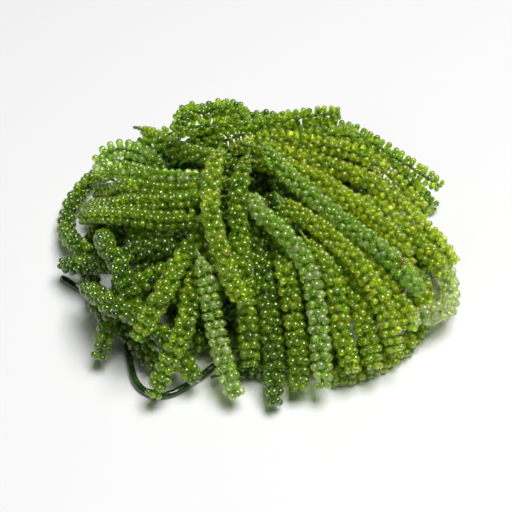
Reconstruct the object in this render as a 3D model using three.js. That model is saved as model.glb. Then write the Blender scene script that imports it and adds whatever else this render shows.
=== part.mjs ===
// Sea grapes seaweed: one harvested clump of bead-covered fronds, heaped as it lies on a surface.
// Millimetres, +Z up. The origin is under the middle of the clump, on the surface it rests on.
// +X runs to the right of the side that is seen first, and that side faces -Y.
//
// The clump is heaped the way a real one falls. Each frond has a route across the plan. It is laid
// over the fronds before it, and then the whole heap sinks until the fronds lie on each other.

import * as THREE from "three";

// A frond: how far its beads and the gaps between them stand from its line, and its two ends
const BEAD_REACH = 3.7;
const GAP_REACH = 2.4;
const BEAD_ROW = 3.5;
const STALK_RADIUS = 0.8;
const STALK_LENGTH = 5;
const TAPER_LENGTH = 7;
const TIP_SHARE = 0.5;
const BASE_SHARE = 0.6;
const END_BLUNTNESS = 0.5;

// The runner
const RUNNER_RADIUS = 1.2;
const RUNNER_SIDES = 8;
const RUNNER_STEP = 5;

// Sides of a frond's tube: the ones on top are rounder than the ones they cover
const TOP = 8;
const SHOULDER = 6;
const HIDDEN = 4;

// Clearances between neighbours, and how deep the lowest beads flatten on the surface
const FROND_GAP = 0.3;
const LEAST_GAP = 0.16;
const GROUND_SINK = 0.15;

// The settling of the heap: the links of each strand, and how they fall, hold and bend
const LINK = 2.6;
const SELF_LINKS = 5;
const EASING_RADIUS = 11;
const HUMP_LEAN = 0.7;
const PAIR_MARGIN = 2;
const PAIR_REFRESH = 8;
const SETTLE_STEPS = 1400;
const FALLING_SHARE = 0.8;
const PUSH_PASSES = 2;
const FALL = 0.07;
const HOLD = 0.003;
const STIFFNESS = 0.18;

const SEED = 20491;

const COLOURS = {
  green: { color: 0x6fa517, roughness: 0.3, metalness: 0 },
  pale: { color: 0xa9c97a, roughness: 0.28, metalness: 0 },
  dark: { color: 0x27401a, roughness: 0.35, metalness: 0 },
};

// The creeping runner that the fronds grew from, lowest of all, along the surface
const RUNNER_ROUTE = [
  [-70, -6], [-58, -16], [-48, -27], [-43, -42], [-38, -57], [-29, -61], [-19, -54],
  [-8, -42], [4, -26], [10, -8], [4, 12], [14, 30], [32, 42],
];

// Fronds that lie round the foot of the clump, as rings of a loose nest with squarish corners
const NEST_CENTRE = [0, 4];
const NEST_SQUARENESS = 0.8;
const NEST_WANDER = 1.2;
const NEST_END_GAP = 10;
const NEST_POINTS = 7;
const NEST_RINGS = [
  { across: 63, deep: 58, fronds: 3, start: 20, sides: SHOULDER },
  { across: 54, deep: 49, fronds: 3, start: 75, sides: HIDDEN },
  { across: 45, deep: 40, fronds: 2, start: 150, sides: HIDDEN },
  { across: 36, deep: 32, fronds: 2, start: 40, sides: HIDDEN },
  { across: 28, deep: 24, fronds: 1, start: 200, sides: HIDDEN },
];

// Fronds across the nest, which carry the crown
const CORE_BOW = 7;
const CORE_SHIFT = 6;
const CORE_LAYERS = [
  { heading: 6, fronds: 6, spread: 74, length: 108, centre: [0, 20] },
  { heading: 96, fronds: 4, spread: 78, length: 116, centre: [0, 10] },
  { heading: 30, fronds: 3, spread: 40, length: 90, centre: [-6, 36] },
];

// Fronds that show, from the lowest to the highest: each route starts at the cut end
const SHOWN = [
  { name: "right_foot", sides: TOP,
    route: [[58, -8], [60, -22], [55, -36], [41, -49], [22, -58]] },
  { name: "right_rim", sides: TOP, colour: "pale",
    route: [[50, 12], [63, 5], [69, -7], [70, -19], [64, -31], [52, -39], [37, -46]] },
  { name: "left_rim", sides: SHOULDER,
    route: [[-50, 58], [-67, 50], [-74, 28], [-70, 6], [-60, -8]] },
  { name: "front_left_end", sides: SHOULDER,
    route: [[-18, -8], [-32, -26], [-44, -40], [-52, -52]] },
  { name: "left_reach", sides: SHOULDER,
    route: [[-14, -8], [-34, -18], [-50, -19], [-60, -15], [-69, -4]] },
  { name: "left_tangle_high", sides: SHOULDER,
    route: [[-57, 10], [-56, -4], [-46, -14], [-35, -28], [-40, -44]] },
  { name: "left_tangle_low", sides: SHOULDER,
    route: [[-62, -16], [-50, -30], [-38, -38], [-26, -50], [-10, -60]] },
  { name: "back_rim", sides: SHOULDER,
    route: [[-52, 42], [-36, 54], [-10, 58], [18, 58], [40, 50]] },
  { name: "back_right_rim", sides: SHOULDER,
    route: [[16, 58], [36, 58], [56, 48], [70, 29]] },
  { name: "front_cross", sides: HIDDEN,
    route: [[42, -26], [26, -33], [4, -35], [-18, -30], [-38, -20]] },
  { name: "front_left_fall", sides: SHOULDER,
    route: [[-12, 6], [-21, -14], [-29, -38], [-40, -56]] },
  { name: "front_fall", sides: SHOULDER,
    route: [[-8, 4], [-15, -22], [-21, -46], [-34, -68]] },
  { name: "front_pale_fall", sides: SHOULDER, colour: "pale",
    route: [[-20, -18], [-17, -40], [-10, -56], [-4, -69]] },
  { name: "front_right_fall", sides: SHOULDER,
    route: [[14, -8], [27, -30], [31, -61]] },
  { name: "front_right_sweep", sides: SHOULDER,
    route: [[18, 4], [32, -16], [39, -36], [38, -59]] },
  { name: "right_arc_low", sides: SHOULDER,
    route: [[14, 4], [36, -6], [47, -18], [51, -30], [46, -42]] },
  { name: "right_arc_outer", sides: SHOULDER,
    route: [[14, 18], [40, 8], [56, -6], [62, -22]] },
  { name: "right_arc_front", sides: TOP,
    route: [[4, 10], [20, -8], [34, -24], [42, -40], [44, -56]] },
  { name: "back_top_arc", sides: SHOULDER,
    route: [[-34, 48], [-14, 55], [10, 58], [34, 58]] },
  { name: "right_arc_back", sides: SHOULDER,
    route: [[-14, 45], [-2, 47], [24, 51], [50, 46], [71, 31]] },
  { name: "right_arc_high", sides: TOP,
    route: [[-16, 39], [-2, 41], [20, 43], [46, 35], [66, 17]] },
  { name: "right_arc_middle", sides: TOP,
    route: [[-6, 40], [18, 33], [44, 18], [60, 2], [67, -14]] },
  { name: "front_twin_right", sides: TOP,
    route: [[4, 10], [10, -14], [13, -36], [14, -68]] },
  { name: "front_twin_left", sides: TOP,
    route: [[-2, 8], [4, -14], [5, -36], [6, -68]] },
  { name: "right_arc_inner", sides: TOP,
    route: [[-4, 34], [18, 22], [36, 5], [48, -12], [54, -28]] },
  { name: "front_pale_edge", sides: TOP, colour: "pale",
    route: [[-4, 18], [10, -8], [20, -28], [24, -46], [16, -66]] },
  { name: "left_low", sides: TOP,
    route: [[-6, -6], [-24, -10], [-44, -3], [-66, 14]] },
  { name: "left_middle", sides: TOP,
    route: [[-6, 4], [-24, -1], [-43, 6], [-66, 26]] },
  { name: "left_high", sides: TOP,
    route: [[-4, 12], [-22, 8], [-40, 14], [-62, 36]] },
  { name: "left_loop", sides: TOP, colour: "pale",
    route: [[-8, 18], [-25, 18], [-46, 20], [-60, 26], [-63, 36], [-54, 43], [-38, 41]] },
  { name: "left_stub", sides: SHOULDER,
    route: [[-48, 53], [-39, 48], [-29, 37], [-18, 27], [-8, 20]] },
  { name: "front_left_tress", sides: TOP,
    route: [[-4, 23], [-9, 8], [-9, -18], [-3, -42], [1, -60]] },
  { name: "front_tress", sides: TOP,
    route: [[-12, 24], [-17, 10], [-19, -10], [-12, -30], [-2, -46]] },
  { name: "ridge", sides: TOP, colour: "pale",
    route: [[0, 33], [12, 14], [27, -4], [41, -22], [50, -40]] },
];

// The curl that stands on the crown, laid once the rest has settled
const CROWN_CURL = {
  name: "crown_curl",
  sides: TOP,
  hump: 8,
  route: [[-28, 29], [-27, 37], [-21, 42], [-13, 42], [-6, 37], [-4, 29]],
};

// A cut stalk that stands up at the back of the heap, and how far
const BACK_STUB = { name: "back_right_rim", rise: 6 };

// A repeatable draw between -1 and 1
function makeDraw(seed) {
  const modulus = 4294967296;
  let state = seed;
  return function draw() {
    state = (state * 1664525 + 1013904223) % modulus;
    return (2 * state) / modulus - 1;
  };
}

// A route round part of one ring of the nest
function ringRoute(ring, index, draw) {
  const squarer = (value) => Math.sign(value) * Math.abs(value) ** NEST_SQUARENESS;
  const span = (2 * Math.PI) / ring.fronds;
  const first = THREE.MathUtils.degToRad(ring.start) + span * index;
  const swept = span - NEST_END_GAP / ring.across;
  const points = [];
  for (let i = 0; i < NEST_POINTS; i += 1) {
    const angle = first + (swept * i) / (NEST_POINTS - 1);
    const wander = draw() * NEST_WANDER;
    points.push([
      NEST_CENTRE[0] + (ring.across + wander) * squarer(Math.cos(angle)),
      NEST_CENTRE[1] + (ring.deep + wander) * squarer(Math.sin(angle)),
    ]);
  }
  return points;
}

// A slightly bowed route across the heap, one of a layer of side-by-side ones
function coreRoute(layer, index, draw) {
  const heading = THREE.MathUtils.degToRad(layer.heading);
  const side = (index / (layer.fronds - 1) - 0.5) * layer.spread;
  const bow = draw() * CORE_BOW;
  const shift = draw() * CORE_SHIFT;
  return [-0.5, -0.17, 0.17, 0.5].map((part) => {
    const ahead = part * layer.length + shift;
    const across = side + bow * (1 - 4 * part * part);
    return [
      layer.centre[0] + ahead * Math.cos(heading) - across * Math.sin(heading),
      layer.centre[1] + ahead * Math.sin(heading) + across * Math.cos(heading),
    ];
  });
}

// Points along a smooth route through the given plan points, one link apart
function samplePlan(points) {
  const curve = new THREE.SplineCurve(points.map(([x, y]) => new THREE.Vector2(x, y)));
  return curve.getSpacedPoints(Math.round(curve.getLength() / LINK));
}

// Height at which a strand clears everything already laid, at each point of its plan
function clearHeights(plan, radius, strands) {
  return plan.map((point) => {
    let height = radius - GROUND_SINK;
    for (const other of strands) {
      const reach = radius + other.radius + FROND_GAP;
      for (const q of other.points) {
        const apart = (q.x - point.x) ** 2 + (q.y - point.y) ** 2;
        if (apart < reach * reach) {
          height = Math.max(height, q.z + Math.sqrt(reach * reach - apart));
        }
      }
    }
    return height;
  });
}

// The same heights with the peaks eased over, never lower than before
function drape(heights) {
  return heights.map((_, i) =>
    Math.max(...heights.map((h, j) => h - ((i - j) * LINK) ** 2 / (2 * EASING_RADIUS))),
  );
}

// Lays one more strand over everything there, with a hump near its start if it has one
function lay(look, radius, strands) {
  const plan = samplePlan(look.route);
  const heights = drape(clearHeights(plan, radius, strands));
  const points = plan.map((p, i) => {
    const hump = (look.hump ?? 0) * Math.sin(Math.PI * (i / (plan.length - 1)) ** HUMP_LEAN);
    return new THREE.Vector3(p.x, p.y, heights[i] + hump);
  });
  const strand = { look, radius, points, home: points.map((p) => p.clone()) };
  strands.push(strand);
  return strand;
}

// Pairs of points of different strands, or far apart along one, that could soon touch
function nearPairs(strands) {
  const cell = 2 * BEAD_REACH + FROND_GAP + PAIR_MARGIN;
  const cellOf = (value) => Math.floor(value / cell);
  const grid = new Map();
  const pairs = [];
  strands.forEach((strand, s) => {
    strand.points.forEach((point, i) => {
      const [cx, cy, cz] = [cellOf(point.x), cellOf(point.y), cellOf(point.z)];
      for (let x = cx - 1; x <= cx + 1; x += 1) {
        for (let y = cy - 1; y <= cy + 1; y += 1) {
          for (let z = cz - 1; z <= cz + 1; z += 1) {
            for (const other of grid.get(`${x},${y},${z}`) ?? []) {
              const apartAlong = other.s !== s || i - other.i > SELF_LINKS;
              if (apartAlong && other.point.distanceTo(point) < cell) {
                const reach = strand.radius + strands[other.s].radius + FROND_GAP;
                pairs.push({ a: point, b: other.point, reach });
              }
            }
          }
        }
      }
      const here = `${cx},${cy},${cz}`;
      if (!grid.has(here)) grid.set(here, []);
      grid.get(here).push({ s, i, point });
    });
  });
  return pairs;
}

// Moves two points along the line between them until they are the wanted distance apart
function space(a, b, wanted) {
  const apart = a.distanceTo(b);
  const shift = b.clone().sub(a).multiplyScalar((wanted - apart) / apart / 2);
  a.sub(shift);
  b.add(shift);
}

// One step of a strand by itself: it falls, holds to its route, straightens and keeps its length
function moveStrand({ points, home }, fall) {
  points.forEach((point, i) => {
    point.z -= fall;
    point.x += (home[i].x - point.x) * HOLD;
    point.y += (home[i].y - point.y) * HOLD;
  });
  for (let i = 1; i < points.length - 1; i += 1) {
    const middle = points[i - 1].clone().add(points[i + 1]).multiplyScalar(0.5);
    points[i].lerp(middle, STIFFNESS);
  }
  for (let i = 1; i < points.length; i += 1) space(points[i - 1], points[i], LINK);
}

// Lets the heap sink under its own weight over the runner, which stays where it is
function settle(strands, runner) {
  let pairs = [];
  for (let step = 0; step < SETTLE_STEPS; step += 1) {
    if (step % PAIR_REFRESH === 0) pairs = nearPairs(strands);
    const calm = Math.max(0, 1 - step / (SETTLE_STEPS * FALLING_SHARE));
    for (const strand of strands) moveStrand(strand, FALL * calm);
    for (let pass = 0; pass < PUSH_PASSES; pass += 1) {
      for (const { a, b, reach } of pairs) {
        if (a.distanceTo(b) < reach) space(a, b, reach);
      }
      for (const { points, radius } of strands) {
        for (const point of points) point.z = Math.max(point.z, radius - GROUND_SINK);
      }
      runner.points.forEach((point, i) => point.copy(runner.home[i]));
    }
  }
}

// Largest reach that keeps a point on one strand's line clear of every other strand
function roomAround(centre, strand, strands) {
  const nearest = new THREE.Vector3();
  const link = new THREE.Line3();
  let room = Infinity;
  for (const other of strands) {
    if (other === strand) continue;
    for (let i = 1; i < other.points.length; i += 1) {
      if (centre.distanceTo(other.points[i]) > 4 * BEAD_REACH) continue;
      link.set(other.points[i - 1], other.points[i]).closestPointToPoint(centre, true, nearest);
      const apart = centre.distanceTo(nearest) - LEAST_GAP;
      room = Math.min(room, other.radius < BEAD_REACH ? apart - other.radius : apart / 2);
    }
  }
  return room;
}

// A closed tube along a line: rings of points joined by triangles, closed by a point at each end.
// Each square between two rings is cut so that every other point of a ring stands out as a bead.
function tubeGeometry(line, sides, spacing, turn, ringRadius) {
  const curve = new THREE.CatmullRomCurve3(line, false, "centripetal");
  curve.arcLengthDivisions = line.length * 2;
  const length = curve.getLength();
  const rings = Math.round(length / spacing);
  const step = length / rings;
  const frames = curve.computeFrenetFrames(rings, false);
  const centres = curve.getSpacedPoints(rings);
  const positions = [];
  const addPoint = (v) => positions.push(v.x, v.y, Math.max(0, v.z));
  addPoint(centres[0]);
  for (let k = 1; k < rings; k += 1) {
    for (let j = 0; j < sides; j += 1) {
      const angle = turn + (2 * Math.PI * j) / sides;
      const isBead = (k + j) % 2 === 0;
      const radius = ringRadius(isBead, k * step, (rings - k) * step, centres[k]);
      const point = centres[k].clone();
      point.addScaledVector(frames.normals[k], Math.cos(angle) * radius);
      point.addScaledVector(frames.binormals[k], Math.sin(angle) * radius);
      addPoint(point);
    }
  }
  addPoint(centres[rings - 1].clone().lerp(centres[rings], END_BLUNTNESS));

  const at = (k, j) => 1 + (k - 1) * sides + (j % sides);
  const last = positions.length / 3 - 1;
  const index = [];
  for (let j = 0; j < sides; j += 1) {
    index.push(0, at(1, j + 1), at(1, j));
    index.push(last, at(rings - 1, j), at(rings - 1, j + 1));
  }
  for (let k = 1; k < rings - 1; k += 1) {
    for (let j = 0; j < sides; j += 1) {
      const [a, b, c, d] = [at(k, j), at(k, j + 1), at(k + 1, j + 1), at(k + 1, j)];
      if ((k + j) % 2 === 0) {
        index.push(a, b, d, b, c, d);
      } else {
        index.push(a, b, c, a, c, d);
      }
    }
  }
  const geometry = new THREE.BufferGeometry();
  geometry.setAttribute("position", new THREE.Float32BufferAttribute(positions, 3));
  geometry.setIndex(index);
  geometry.computeVertexNormals();
  return geometry;
}

function frondGeometry(strand, strands, turn) {
  const ringRadius = (isBead, fromCut, fromTip, centre) => {
    if (fromCut < STALK_LENGTH) return STALK_RADIUS;
    const base = BASE_SHARE + ((1 - BASE_SHARE) * (fromCut - STALK_LENGTH)) / TAPER_LENGTH;
    const tip = TIP_SHARE + ((1 - TIP_SHARE) * fromTip) / TAPER_LENGTH;
    const taper = Math.min(1, base, tip);
    const bead = Math.min(BEAD_REACH * taper, roomAround(centre, strand, strands));
    return isBead ? bead : Math.min(GAP_REACH * taper, bead);
  };
  return tubeGeometry(strand.points, strand.look.sides, BEAD_ROW, turn, ringRadius);
}

// The runner's sides are turned so that one lies flat on the surface
function runnerGeometry(strand) {
  const turn = Math.PI / RUNNER_SIDES;
  return tubeGeometry(strand.points, RUNNER_SIDES, RUNNER_STEP, turn, () => RUNNER_RADIUS);
}

// Bends the bare cut end of a strand straight up
function raiseStub(strand, rise) {
  const end = strand.points[0].clone();
  end.z += rise;
  strand.points.unshift(end);
}

function heapStrands(draw) {
  const strands = [];
  const runner = lay({ name: "runner", colour: "dark", route: RUNNER_ROUTE }, RUNNER_RADIUS, strands);
  let count = 0;
  for (const ring of NEST_RINGS) {
    for (let i = 0; i < ring.fronds; i += 1) {
      count += 1;
      const name = `nest_frond_${count}`;
      lay({ name, sides: ring.sides, route: ringRoute(ring, i, draw) }, BEAD_REACH, strands);
    }
  }
  count = 0;
  for (const layer of CORE_LAYERS) {
    for (let i = 0; i < layer.fronds; i += 1) {
      count += 1;
      const name = `core_frond_${count}`;
      lay({ name, sides: HIDDEN, route: coreRoute(layer, i, draw) }, BEAD_REACH, strands);
    }
  }
  for (const look of SHOWN) lay(look, BEAD_REACH, strands);
  settle(strands, runner);
  lay(CROWN_CURL, BEAD_REACH, strands);
  raiseStub(strands.find((strand) => strand.look.name === BACK_STUB.name), BACK_STUB.rise);
  return { runner, strands };
}

const draw = makeDraw(SEED);
const { runner, strands } = heapStrands(draw);
const clump = new THREE.Group();
clump.name = "sea_grapes";
for (const strand of strands) {
  const geometry =
    strand === runner ? runnerGeometry(strand) : frondGeometry(strand, strands, draw() * Math.PI);
  const material = new THREE.MeshStandardMaterial(COLOURS[strand.look.colour ?? "green"]);
  const mesh = new THREE.Mesh(geometry, material);
  mesh.name = strand.look.name;
  clump.add(mesh);
}

// The middle of the clump goes over the origin
const middle = new THREE.Box3().setFromObject(clump).getCenter(new THREE.Vector3());
clump.position.set(-middle.x, -middle.y, 0);

export default clump;
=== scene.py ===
# Sea grapes seaweed: the looks of one harvested clump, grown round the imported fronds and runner.
import math

import bmesh
import bpy
import numpy as np
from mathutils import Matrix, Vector


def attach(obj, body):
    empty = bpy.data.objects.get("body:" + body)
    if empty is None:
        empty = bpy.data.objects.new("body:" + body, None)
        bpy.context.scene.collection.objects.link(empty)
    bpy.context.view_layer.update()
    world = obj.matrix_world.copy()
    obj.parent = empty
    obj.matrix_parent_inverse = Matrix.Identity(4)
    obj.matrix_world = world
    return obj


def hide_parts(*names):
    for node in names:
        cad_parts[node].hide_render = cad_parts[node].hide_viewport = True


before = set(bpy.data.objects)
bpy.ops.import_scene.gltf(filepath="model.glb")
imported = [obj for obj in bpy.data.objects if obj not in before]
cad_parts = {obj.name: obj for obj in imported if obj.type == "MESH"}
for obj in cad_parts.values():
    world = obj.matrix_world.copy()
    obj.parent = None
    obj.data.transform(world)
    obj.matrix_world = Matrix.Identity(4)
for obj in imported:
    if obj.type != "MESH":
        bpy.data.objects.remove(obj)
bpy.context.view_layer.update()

# One sea grape.
# A round fluid-filled bead of thin clear skin on a short neck. It is modelled one unit in radius,
# with its neck down, and every bead of every frond is a copy of it.
BEAD_SEGMENTS = 10
BEAD_RINGS = 6
NECK_START = 0.8
NECK_WIDTH = 0.55
NECK_DROP = 0.35
FOOT_DROP = 0.75

bpy.ops.object.select_all(action="DESELECT")
bpy.ops.mesh.primitive_uv_sphere_add(segments=BEAD_SEGMENTS, ring_count=BEAD_RINGS, radius=1.0)
bead = bpy.context.object
bpy.ops.object.mode_set(mode="EDIT")
bpy.ops.mesh.select_all(action="DESELECT")
shape = bmesh.from_edit_mesh(bead.data)
for vert in shape.verts:
    vert.select_set(vert.co.z < -NECK_START)
bpy.ops.transform.resize(value=(NECK_WIDTH, NECK_WIDTH, 1), center_override=(0, 0, 0))
bpy.ops.transform.translate(value=(0, 0, -NECK_DROP))
lowest = min(shape.verts, key=lambda v: v.co.z)
bpy.ops.mesh.select_all(action="DESELECT")
lowest.select_set(True)
bpy.ops.transform.translate(value=(0, 0, -FOOT_DROP + NECK_DROP))
bpy.ops.object.mode_set(mode="OBJECT")
bead_points = np.array([v.co for v in bead.data.vertices])
bead_faces = [list(p.vertices) for p in bead.data.polygons]
bpy.data.objects.remove(bead)

# The fronds.
# Each is a thin stem of firm flesh with rings of beads all round it, bare at the cut end, and with
# smaller and closer beads at the growing tip. It follows the middle of its CAD solid and fills out
# to its surface, and its lowest beads are flattened where they lie on the floor.
WELD = 0.00002
CURVE_STEPS = 8
FINE_STEP = 0.0005
STALK_LENGTH = 0.0035
STEM_RADIUS = 0.0006
STEM_SIDES = 6
STEM_SKIP = 4

# Beads: their sizes in metres, how they stand on the stem, and how much they differ at random
RING_PITCH = 0.00295
TIP_SLACK = 0.1
BEADS_IN_RING = 5
BEAD_RADIUS = 0.00143
LEAST_BEAD = 0.0007
BEAD_SHARE = 0.39
PROUD = 0.0001
TIP_TILT = 0.2
STAGGER = 0.5
ANGLE_SPREAD = 0.07
SIZE_SPREAD = 0.05
TILT_SPREAD = 0.09
SHIFT_SPREAD = 0.0001
TWIST_SPREAD = 0.05
DRAWS = np.random.default_rng(41)

# Fronds with smaller beads, fronds of the pale kind, and fronds whose rings stand in straight rows
FINENESS = 0.84
FINE = ("right_arc", "back", "crown", "ridge")
PALE = {"right_rim", "front_pale_fall", "front_pale_edge", "left_loop", "ridge"}
ALIGNED = {"left_loop", "left_high", "left_middle", "left_low"}

# A bead's tone runs from deep to clear, and a withered bead's lies below that range. Each part of the
# heap gets painted light or painted shade of its own, by the start of its fronds' names: painted
# light on the right, painted shade on the left and on the nest and core fronds deep in the heap, and
# partly the paler colour of the pale right rim frond.
TONE_SPREAD = 0.7
FROND_SPREAD = 0.5
# Painted shade towards each bead's neck, where it meets the stem, and painted light at its crown
PAINTED_BEAD_SHADING = 0.45
TONE_LIMIT = 2.5
WITHERED_TONE = -4.0
WITHERED_SHARE = 0.0015
WITHERED_BROWN = (0.5, 0.22, 0.02, 1)
PAINTED_SIDE_SHADES = {
    "right_arc": 1.7,
    "right_rim": 1.6,
    "back": 0.5,
    "crown": 0.5,
    "front_pale": 0.5,
    "front_right": 0.5,
    "front_tress": 0.5,
    "front_left_tress": 0.5,
    "front_fall": -0.5,
    "front_left_fall": -0.6,
    "front_left_end": -0.8,
    "left_rim": -1.0,
    "left_tangle": -1.4,
    "left_reach": -1.4,
    "nest": -2.0,
    "core": -2.0,
}


def rings_from(start):
    """The vertices of a welded mesh in steps of one edge from start."""
    rings, seen = [[start]], {start}
    while rings[-1]:
        following = []
        for vert in rings[-1]:
            for edge in vert.link_edges:
                other = edge.other_vert(vert)
                if other not in seen:
                    seen.add(other)
                    following.append(other)
        rings.append(following)
    return rings[:-1]


def is_strand(rings):
    """True if the rings run from one end point of a tube to the other."""
    return len(rings[-1]) == 1 and len({len(ring) for ring in rings[1:-1]}) == 1


def middle_line(node):
    """Points down the middle of a CAD strand from its thin cut end, and its reach at each."""
    solid = bmesh.new()
    solid.from_mesh(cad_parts[node].data)
    bmesh.ops.remove_doubles(solid, verts=solid.verts, dist=WELD)
    solid.verts.ensure_lookup_table()
    outward = [vert for ring in rings_from(solid.verts[0]) for vert in ring]
    rings = next(found for found in map(rings_from, reversed(outward)) if is_strand(found))
    points = np.array([np.mean([v.co for v in ring], axis=0) for ring in rings])
    reach = np.array([
        max((v.co - Vector(point)).length for v in ring) for ring, point in zip(rings, points)
    ])
    solid.free()
    reach[0], reach[-1] = reach[1], reach[-2]
    if reach[0] > reach[-1]:
        points, reach = points[::-1], reach[::-1]
    return points, reach


def smooth_line(points, reach):
    """The same line at fine even steps on a smooth curve, with its reach and directions."""
    padded = np.vstack([2 * points[0] - points[1], points, 2 * points[-1] - points[-2]])
    line = []
    for before, a, b, after in zip(padded, padded[1:], padded[2:], padded[3:]):
        for t in np.arange(CURVE_STEPS) / CURVE_STEPS:
            line.append(0.5 * (
                2 * a + (b - before) * t
                + (2 * before - 5 * a + 4 * b - after) * t * t
                + (3 * a - before - 3 * b + after) * t * t * t
            ))
    line = np.array(line + [points[-1]])
    along = np.concatenate([[0], np.cumsum(np.linalg.norm(np.diff(line, axis=0), axis=1))])
    steps = np.linspace(0, along[-1], int(along[-1] / FINE_STEP) + 1)
    fine = np.column_stack([np.interp(steps, along, line[:, k]) for k in range(3)])
    reach = np.interp(steps, along[::CURVE_STEPS], reach)
    tangents = np.gradient(fine, axis=0)
    tangents /= np.linalg.norm(tangents, axis=1)[:, None]
    sides = [np.cross(tangents[0], (0, 0, 1))]
    for tangent in tangents:
        side = sides[-1] - tangent * (sides[-1] @ tangent)
        sides.append(side / np.linalg.norm(side))
    sides = np.array(sides[1:])
    return steps, fine, reach, tangents, sides, np.cross(tangents, sides)


def tube(centres, sides, tops, radii, count):
    """Vertices and faces of a round tube with closed ends."""
    angles = np.arange(count) * 2 * np.pi / count
    around = sides[:, None] * np.cos(angles)[:, None] + tops[:, None] * np.sin(angles)[:, None]
    verts = (centres[:, None] + around * radii[:, None, None]).reshape(-1, 3)
    faces = []
    for k in range(len(centres) - 1):
        for j in range(count):
            near, far = k * count + j, k * count + (j + 1) % count
            faces.append([near, far, far + count, near + count])
    faces.append(list(range(count))[::-1])
    faces.append([len(verts) - count + j for j in range(count)])
    return verts, faces


def beads_along(steps, line, reach, tangents, sides, tops, aligned, painted_shade_and_tone, fineness):
    """Vertices, faces and tones of all the beads of one frond, each with painted light at its crown
    and painted shade at its neck.
    """
    verts, faces, tones = [], [], []
    turn = DRAWS.uniform(0, 2 * np.pi)
    at = STALK_LENGTH
    ring = 0
    while at < steps[-1]:
        k = np.searchsorted(steps, at)
        room = reach[k] + PROUD
        radius = float(np.clip(room * BEAD_SHARE, LEAST_BEAD, BEAD_RADIUS)) * fineness
        count = round(BEADS_IN_RING / fineness)
        for j in range(count):
            shift = 0 if aligned else STAGGER * (ring % 2)
            angle = turn + 2 * np.pi * (j + shift) / count + DRAWS.normal(0, ANGLE_SPREAD)
            size = radius * DRAWS.normal(1, SIZE_SPREAD)
            out = sides[k] * np.cos(angle) + tops[k] * np.sin(angle)
            out = out + tangents[k] * (TIP_TILT + DRAWS.normal(0, TILT_SPREAD))
            out /= np.linalg.norm(out)
            across = np.cross(tangents[k], out)
            across /= np.linalg.norm(across)
            turned = np.array([across, np.cross(out, across), out])
            centre = line[k] + out * (room - size) + tangents[k] * DRAWS.normal(0, SHIFT_SPREAD)
            first = len(verts) * len(bead_points)
            verts.append(centre + bead_points * size @ turned)
            faces += [[first + v for v in face] for face in bead_faces]
            # Painted light at the bead's crown and painted shade at its neck, on top of the frond's
            # painted shade and its random tone
            tone = DRAWS.normal(painted_shade_and_tone, TONE_SPREAD) + PAINTED_BEAD_SHADING * bead_points[:, 2]
            withered = DRAWS.random() < WITHERED_SHARE
            if withered:
                tone = np.full(len(tone), WITHERED_TONE)
            else:
                tone = np.clip(tone, -TONE_LIMIT, TONE_LIMIT)
            tones += tone.tolist()
        turn += DRAWS.normal(0, TWIST_SPREAD)
        at += RING_PITCH * min(1, radius / BEAD_RADIUS + TIP_SLACK)
        ring += 1
    return np.vstack(verts), faces, tones


def grow_frond(node, aligned, painted_shade_and_tone, fineness):
    """One frond's mesh: its stem and its beads."""
    points, reach = middle_line(node)
    steps, line, reach, tangents, sides, tops = smooth_line(points, reach)
    thin = slice(None, None, STEM_SKIP)
    stem_verts, stem_faces = tube(
        line[thin], sides[thin], tops[thin], np.full(len(line[thin]), STEM_RADIUS), STEM_SIDES)
    verts, faces, tones = beads_along(
        steps, line, reach, tangents, sides, tops, aligned, painted_shade_and_tone, fineness)
    faces = stem_faces + [[v + len(stem_verts) for v in face] for face in faces]
    verts = np.vstack([stem_verts, verts])
    verts[:, 2] = np.maximum(verts[:, 2], 0)
    mesh = bpy.data.meshes.new(node + "_beads")
    mesh.from_pydata(verts.tolist(), [], faces)
    mesh.polygons.foreach_set("use_smooth", [True] * len(faces))
    mesh.polygons.foreach_set(
        "material_index", [1 if i < len(stem_faces) else 0 for i in range(len(faces))])
    tone = mesh.attributes.new("tone", "FLOAT", "POINT")
    tone.data.foreach_set("value", [0.0] * len(stem_verts) + tones)
    frond = bpy.data.objects.new(node + "_beads", mesh)
    bpy.context.scene.collection.objects.link(frond)
    return frond


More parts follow.
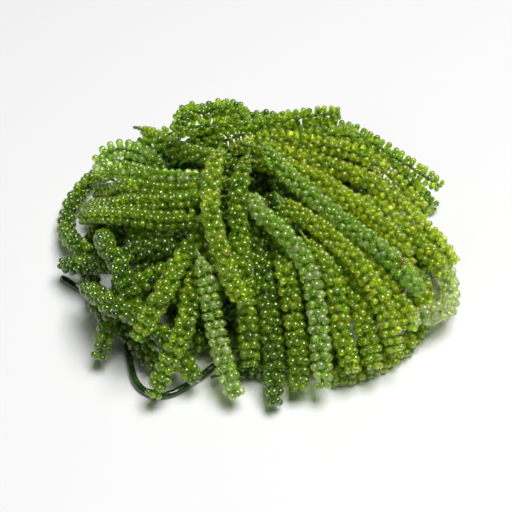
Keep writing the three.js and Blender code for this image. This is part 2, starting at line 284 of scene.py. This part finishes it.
def flesh(name, deep, mid, clear):
    """Wet translucent flesh whose beads differ in how clear they are by their tone, which also
    carries painted light and painted shade.
    """
    material = bpy.data.materials.new(name)
    material.use_nodes = True
    nodes, links = material.node_tree.nodes, material.node_tree.links
    shader = nodes["Principled BSDF"]
    tone = nodes.new("ShaderNodeAttribute")
    tone.attribute_name = "tone"
    ramp = nodes.new("ShaderNodeValToRGB")
    ramp.color_ramp.elements[0].color = WITHERED_BROWN
    ramp.color_ramp.elements[0].position = 0.0
    ramp.color_ramp.elements[1].color = (*clear, 1)
    ramp.color_ramp.elements[1].position = 1.0
    tone_range = TONE_LIMIT - WITHERED_TONE
    ramp.color_ramp.elements.new((-TONE_LIMIT - WITHERED_TONE) / tone_range).color = (*deep, 1)
    ramp.color_ramp.elements.new(-WITHERED_TONE / tone_range).color = (*mid, 1)
    spread = nodes.new("ShaderNodeMapRange")
    spread.inputs["From Min"].default_value = WITHERED_TONE
    spread.inputs["From Max"].default_value = TONE_LIMIT
    links.new(tone.outputs["Fac"], spread.inputs["Value"])
    links.new(spread.outputs["Result"], ramp.inputs["Fac"])
    links.new(ramp.outputs["Color"], shader.inputs["Base Color"])
    place = nodes.new("ShaderNodeTexCoord")
    film = nodes.new("ShaderNodeTexNoise")
    film.inputs["Scale"].default_value = 350.0
    film.inputs["Detail"].default_value = 1.0
    wetness = nodes.new("ShaderNodeMapRange")
    wetness.inputs["From Min"].default_value = 0.3
    wetness.inputs["From Max"].default_value = 0.7
    wetness.inputs["To Min"].default_value = 0.15
    wetness.inputs["To Max"].default_value = 0.35
    links.new(place.outputs["Object"], film.inputs["Vector"])
    links.new(film.outputs["Fac"], wetness.inputs["Value"])
    links.new(wetness.outputs["Result"], shader.inputs["Roughness"])
    shader.inputs["IOR"].default_value = 1.25
    shader.inputs["Subsurface Weight"].default_value = 0.5
    shader.inputs["Subsurface Radius"].default_value = (0.5, 1.0, 0.05)
    shader.inputs["Subsurface Scale"].default_value = 0.001
    shader.inputs["Transmission Weight"].default_value = 0.8
    shader.inputs["Coat Weight"].default_value = 1.0
    shader.inputs["Coat IOR"].default_value = 1.72
    shader.inputs["Coat Roughness"].default_value = 0.03
    shader.inputs["Sheen Weight"].default_value = 0.8
    shader.inputs["Sheen Roughness"].default_value = 0.3
    shader.inputs["Sheen Tint"].default_value = (0.85, 1.0, 0.1, 1)
    return material


def strand_skin(name, dark, light, grain, roughness, wet):
    """Firm wet skin, mottled and very finely wrinkled."""
    material = bpy.data.materials.new(name)
    material.use_nodes = True
    nodes, links = material.node_tree.nodes, material.node_tree.links
    shader = nodes["Principled BSDF"]
    place = nodes.new("ShaderNodeTexCoord")
    mottle = nodes.new("ShaderNodeTexNoise")
    mottle.inputs["Scale"].default_value = grain
    mottle.inputs["Detail"].default_value = 3.0
    ramp = nodes.new("ShaderNodeValToRGB")
    ramp.color_ramp.elements[0].color = (*dark, 1)
    ramp.color_ramp.elements[0].position = 0.35
    ramp.color_ramp.elements[1].color = (*light, 1)
    ramp.color_ramp.elements[1].position = 0.7
    wrinkles = nodes.new("ShaderNodeBump")
    wrinkles.inputs["Strength"].default_value = 0.25
    wrinkles.inputs["Distance"].default_value = 0.0002
    links.new(place.outputs["Object"], mottle.inputs["Vector"])
    links.new(mottle.outputs["Fac"], ramp.inputs["Fac"])
    links.new(ramp.outputs["Color"], shader.inputs["Base Color"])
    links.new(mottle.outputs["Fac"], wrinkles.inputs["Height"])
    links.new(wrinkles.outputs["Normal"], shader.inputs["Normal"])
    shader.inputs["Roughness"].default_value = roughness
    shader.inputs["Coat Weight"].default_value = wet
    shader.inputs["Coat Roughness"].default_value = 0.05
    return material


green_flesh = flesh(
    "green_bead_flesh", deep=(0.07, 0.25, 0.0002), mid=(0.38, 0.64, 0.0002), clear=(0.82, 0.96, 0.02))
pale_flesh = flesh(
    "pale_bead_flesh", deep=(0.34, 0.62, 0.02), mid=(0.53, 0.83, 0.09), clear=(0.88, 0.97, 0.5))
stem_flesh = strand_skin(
    "stem_flesh", dark=(0.05, 0.14, 0.002), light=(0.12, 0.26, 0.003),
    grain=500.0, roughness=0.4, wet=0.0)

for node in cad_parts:
    if node == "runner":
        continue
    # The painted light or painted shade of this part of the heap
    painted_shade_and_tone = sum(value for part, value in PAINTED_SIDE_SHADES.items() if node.startswith(part))
    fineness = FINENESS if node.startswith(FINE) else 1
    frond = grow_frond(node, node in ALIGNED, DRAWS.normal(painted_shade_and_tone, FROND_SPREAD), fineness)
    frond.data.materials.append(pale_flesh if node in PALE else green_flesh)
    frond.data.materials.append(stem_flesh)
    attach(frond, "root")
    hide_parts(node)

# The runner.
# A smooth dark strand of firm wet flesh that creeps along the surface, and that the fronds grew
# from. It is one round tube down the middle of its CAD solid, flat where it lies on the floor.
RUNNER_SIDES = 12
RUNNER_SKIP = 3

points, reach = middle_line("runner")
steps, line, reach, tangents, sides, tops = smooth_line(points, reach)
thin = slice(None, None, RUNNER_SKIP)
verts, faces = tube(line[thin], sides[thin], tops[thin], reach[thin], RUNNER_SIDES)
verts[:, 2] = np.maximum(verts[:, 2], 0)
mesh = bpy.data.meshes.new("runner_strand")
mesh.from_pydata(verts.tolist(), [], faces)
mesh.polygons.foreach_set("use_smooth", [True] * len(faces))
runner = bpy.data.objects.new("runner_strand", mesh)
bpy.context.scene.collection.objects.link(runner)
runner_skin = strand_skin(
    "runner_skin", dark=(0.006, 0.02, 0.004), light=(0.03, 0.08, 0.012),
    grain=260.0, roughness=0.18, wet=0.6)
runner.data.materials.append(runner_skin)
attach(runner, "root")
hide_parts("runner")

# The floor, the lights and the camera.
# A plain pale floor under a soft studio light from above and a weak one from the front left, and
# a camera that looks down on the clump from the front.
FLOOR_SIZE = 8.0
bpy.ops.object.select_all(action="DESELECT")
bpy.ops.mesh.primitive_plane_add(size=FLOOR_SIZE)
floor = bpy.context.object
floor.name = "studio_floor"
floor_paint = bpy.data.materials.new("studio_floor_paint")
floor_paint.use_nodes = True
floor_shader = floor_paint.node_tree.nodes["Principled BSDF"]
floor_shader.inputs["Base Color"].default_value = (0.8, 0.8, 0.8, 1)
floor_shader.inputs["Roughness"].default_value = 0.6
floor.data.materials.append(floor_paint)

world = bpy.data.worlds.new("studio")
bpy.context.scene.world = world
world.use_nodes = True
world.node_tree.nodes["Background"].inputs["Color"].default_value = (1, 1, 1, 1)
world.node_tree.nodes["Background"].inputs["Strength"].default_value = 0.02
bpy.context.scene.view_settings.view_transform = "Standard"


def soft_light(name, place, size, power):
    """A square soft light that faces the clump."""
    bpy.ops.object.light_add(type="AREA", location=place)
    light = bpy.context.object
    light.name = name
    light.data.size = size
    light.data.energy = power
    light.rotation_euler = (-Vector(place)).to_track_quat("-Z", "Y").to_euler()


soft_light("key", (0.48, 0.0, 1.8), 1.1, 46.0)
soft_light("front", (-1.2, -1.5, 1.26), 1.5, 4.5)

AIM = Vector((0.002, -0.0051, 0.006))
ELEVATION = math.radians(42)
DISTANCE = 0.37
back = Vector((0, -math.cos(ELEVATION), math.sin(ELEVATION)))
bpy.ops.object.camera_add(location=AIM + back * DISTANCE)
camera = bpy.context.object
camera.rotation_euler = (-back).to_track_quat("-Z", "Y").to_euler()
camera.data.sensor_width = 36
camera.data.lens = 72.1
camera.data.clip_start = 0.01
bpy.context.scene.camera = camera
